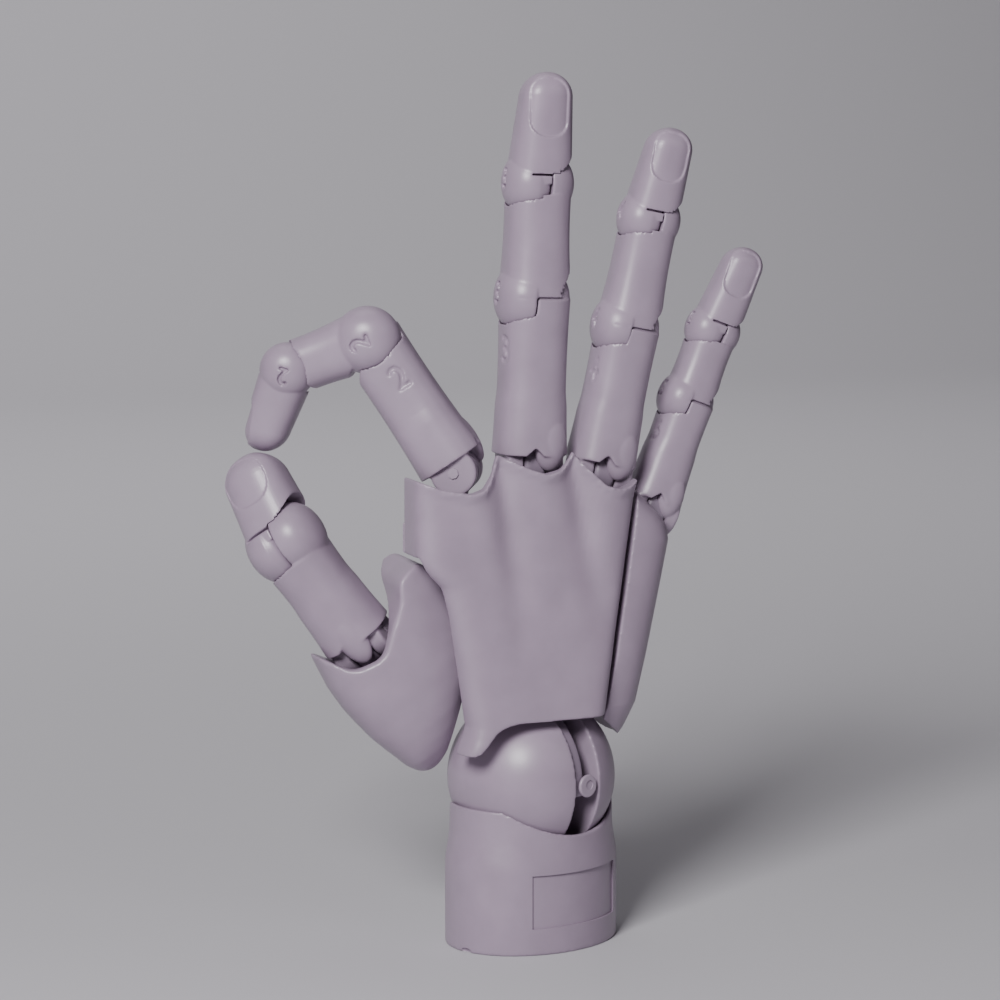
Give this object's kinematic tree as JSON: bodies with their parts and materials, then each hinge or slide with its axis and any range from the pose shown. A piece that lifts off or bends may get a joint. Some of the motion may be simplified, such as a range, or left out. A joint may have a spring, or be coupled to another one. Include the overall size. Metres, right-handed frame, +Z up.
{
  "type": "hand mannequin",
  "caption": "Poseable hand mannequin of moulded plastic on a forearm stub, jointed at the wrist, palm, thumb and every finger joint, for display and drawing.",
  "frame": {"origin": "centre of the forearm stub's flat bottom face", "axes": "+Z up along the forearm and the fingers, -Y towards the back of the hand, -X towards the thumb"},
  "size_m": [0.1406, 0.0488, 0.2262],
  "materials": {
    "moulded_plastic": "satin",
    "inner_plastic": "satin",
    "pin_plastic": "satin"
  },
  "bodies": {
    "forearm": {"forearm_shell": "moulded_plastic", "forearm_foot": "inner_plastic", "wrist_post": "inner_plastic"},
    "wrist_ball": {"wrist_ball_radial_half": "moulded_plastic", "wrist_ball_ulnar_half": "moulded_plastic", "wrist_bend_pin": "pin_plastic"},
    "wrist_core": {"wrist_core": "inner_plastic", "wrist_button_pin": "pin_plastic"},
    "palm": {"palm_dorsal_shell": "moulded_plastic", "palm_palmar_shell": "moulded_plastic", "palm_frame": "inner_plastic", "palm_screw_1": "pin_plastic", "palm_screw_2": "pin_plastic"},
    "little_side": {"little_metacarpal_plate": "moulded_plastic", "palm_cup_pin": "pin_plastic"},
    "thumb_root": {"thumb_metacarpal": "moulded_plastic", "thumb_base_pin": "pin_plastic"},
    "thumb_knuckle": {"thumb_knuckle": "inner_plastic"},
    "thumb_proximal": {"thumb_proximal": "moulded_plastic", "thumb_mp_pin": "pin_plastic"},
    "thumb_distal": {"thumb_distal": "moulded_plastic", "thumb_ip_pin": "pin_plastic"},
    "index_knuckle": {"index_knuckle": "inner_plastic"},
    "index_proximal": {"index_proximal": "moulded_plastic", "index_mcp_pin": "pin_plastic"},
    "index_middle": {"index_middle": "moulded_plastic", "index_pip_pin": "pin_plastic"},
    "index_distal": {"index_distal": "moulded_plastic", "index_dip_pin": "pin_plastic"},
    "middle_knuckle": {"middle_knuckle": "inner_plastic"},
    "middle_proximal": {"middle_proximal": "moulded_plastic", "middle_mcp_pin": "pin_plastic"},
    "middle_middle": {"middle_middle": "moulded_plastic", "middle_pip_pin": "pin_plastic"},
    "middle_distal": {"middle_distal": "moulded_plastic", "middle_dip_pin": "pin_plastic"},
    "ring_knuckle": {"ring_knuckle": "inner_plastic"},
    "ring_proximal": {"ring_proximal": "moulded_plastic", "ring_mcp_pin": "pin_plastic"},
    "ring_middle": {"ring_middle": "moulded_plastic", "ring_pip_pin": "pin_plastic"},
    "ring_distal": {"ring_distal": "moulded_plastic", "ring_dip_pin": "pin_plastic"},
    "little_knuckle": {"little_knuckle": "inner_plastic"},
    "little_proximal": {"little_proximal": "moulded_plastic", "little_mcp_pin": "pin_plastic"},
    "little_middle": {"little_middle": "moulded_plastic", "little_pip_pin": "pin_plastic"},
    "little_distal": {"little_distal": "moulded_plastic", "little_dip_pin": "pin_plastic"}
  },
  "joints": [
    {"name": "wrist_turn", "type": "hinge", "parent": "forearm", "child": "wrist_ball", "pos_m": [0, 0, 0.0435], "axis": [0, 0, 1], "range_deg": [-90, 90]},
    {"name": "wrist_bend", "type": "hinge", "parent": "wrist_ball", "child": "wrist_core", "pos_m": [0, 0, 0.0435], "axis": [-0.9135, -0.4067, 0], "range_deg": [-35, 35]},
    {"name": "palm_turn", "type": "hinge", "parent": "wrist_core", "child": "palm", "pos_m": [0, 0, 0.0435], "axis": [0, 0, 1], "range_deg": [-60, 20]},
    {"name": "palm_cup", "type": "hinge", "parent": "palm", "child": "little_side", "pos_m": [0.0191, 0.0045, 0.055], "axis": [-0.1681, 0, -0.9858], "range_deg": [-18, 0]},
    {"name": "thumb_swing", "type": "hinge", "parent": "palm", "child": "thumb_root", "pos_m": [-0.0202, 0.004, 0.0625], "axis": [0.1045, 0, -0.9945], "range_deg": [0, 22]},
    {"name": "thumb_turn", "type": "hinge", "parent": "thumb_root", "child": "thumb_knuckle", "pos_m": [-0.0432, 0.0085, 0.0795], "axis": [-0.5855, 0.0872, 0.8059], "range_deg": [0, 20]},
    {"name": "thumb_mp", "type": "hinge", "parent": "thumb_knuckle", "child": "thumb_proximal", "pos_m": [-0.0432, 0.0085, 0.0795], "axis": [-0.675, 0.4981, -0.5443], "range_deg": [0, 50]},
    {"name": "thumb_ip", "type": "hinge", "parent": "thumb_proximal", "child": "thumb_distal", "pos_m": [-0.06252, 0.01138, 0.1061], "axis": [-0.675, 0.4981, -0.5443], "range_deg": [-30, 50]},
    {"name": "index_turn", "type": "hinge", "parent": "palm", "child": "index_knuckle", "pos_m": [-0.0202, 0, 0.1245], "axis": [0, 0, 1], "range_deg": [-65, 0]},
    {"name": "index_mcp", "type": "hinge", "parent": "index_knuckle", "child": "index_proximal", "pos_m": [-0.0202, 0, 0.1245], "axis": [-0.4226, -0.9063, 0], "range_deg": [-34, 0]},
    {"name": "index_pip", "type": "hinge", "parent": "index_proximal", "child": "index_middle", "pos_m": [-0.04072, 0.00957, 0.15808], "axis": [-0.4226, -0.9063, 0], "range_deg": [-77, 0]},
    {"name": "index_dip", "type": "hinge", "parent": "index_middle", "child": "index_distal", "pos_m": [-0.05968, 0.01841, 0.15005], "axis": [-0.4226, -0.9063, 0], "range_deg": [-54, 0]},
    {"name": "middle_turn", "type": "hinge", "parent": "palm", "child": "middle_knuckle", "pos_m": [-0.0006, 0, 0.1257], "axis": [0.0349, 0, 0.9994], "range_deg": [-20, 5]},
    {"name": "middle_mcp", "type": "hinge", "parent": "middle_knuckle", "child": "middle_proximal", "pos_m": [-0.0006, 0, 0.1257], "axis": [-0.9994, 0, 0.0349], "range_deg": [0, 75]},
    {"name": "middle_pip", "type": "hinge", "parent": "middle_proximal", "child": "middle_middle", "pos_m": [0.00089, 0, 0.16847], "axis": [-0.9994, 0, 0.0349], "range_deg": [0, 85]},
    {"name": "middle_dip", "type": "hinge", "parent": "middle_middle", "child": "middle_distal", "pos_m": [0.00192, 0, 0.19786], "axis": [-0.9994, 0, 0.0349], "range_deg": [0, 60]},
    {"name": "ring_turn", "type": "hinge", "parent": "palm", "child": "ring_knuckle", "pos_m": [0.0186, 0, 0.1229], "axis": [0.2079, 0, 0.9781], "range_deg": [-20, 0]},
    {"name": "ring_mcp", "type": "hinge", "parent": "ring_knuckle", "child": "ring_proximal", "pos_m": [0.0186, 0, 0.1229], "axis": [-0.9781, 0, 0.2079], "range_deg": [0, 75]},
    {"name": "ring_pip", "type": "hinge", "parent": "ring_proximal", "child": "ring_middle", "pos_m": [0.0265, 0, 0.16007], "axis": [-0.9781, 0, 0.2079], "range_deg": [0, 85]},
    {"name": "ring_dip", "type": "hinge", "parent": "ring_middle", "child": "ring_distal", "pos_m": [0.03245, 0, 0.18804], "axis": [-0.9781, 0, 0.2079], "range_deg": [0, 60]},
    {"name": "little_turn", "type": "hinge", "parent": "little_side", "child": "little_knuckle", "pos_m": [0.0344, 0.004, 0.112], "axis": [0.3584, 0, 0.9336], "range_deg": [-20, 0]},
    {"name": "little_mcp", "type": "hinge", "parent": "little_knuckle", "child": "little_proximal", "pos_m": [0.0344, 0.004, 0.112], "axis": [-0.9336, 0, 0.3584], "range_deg": [0, 75]},
    {"name": "little_pip", "type": "hinge", "parent": "little_proximal", "child": "little_middle", "pos_m": [0.04515, 0.004, 0.14001], "axis": [-0.9336, 0, 0.3584], "range_deg": [0, 85]},
    {"name": "little_dip", "type": "hinge", "parent": "little_middle", "child": "little_distal", "pos_m": [0.05217, 0.004, 0.15831], "axis": [-0.9336, 0, 0.3584], "range_deg": [0, 60]}
  ]
}
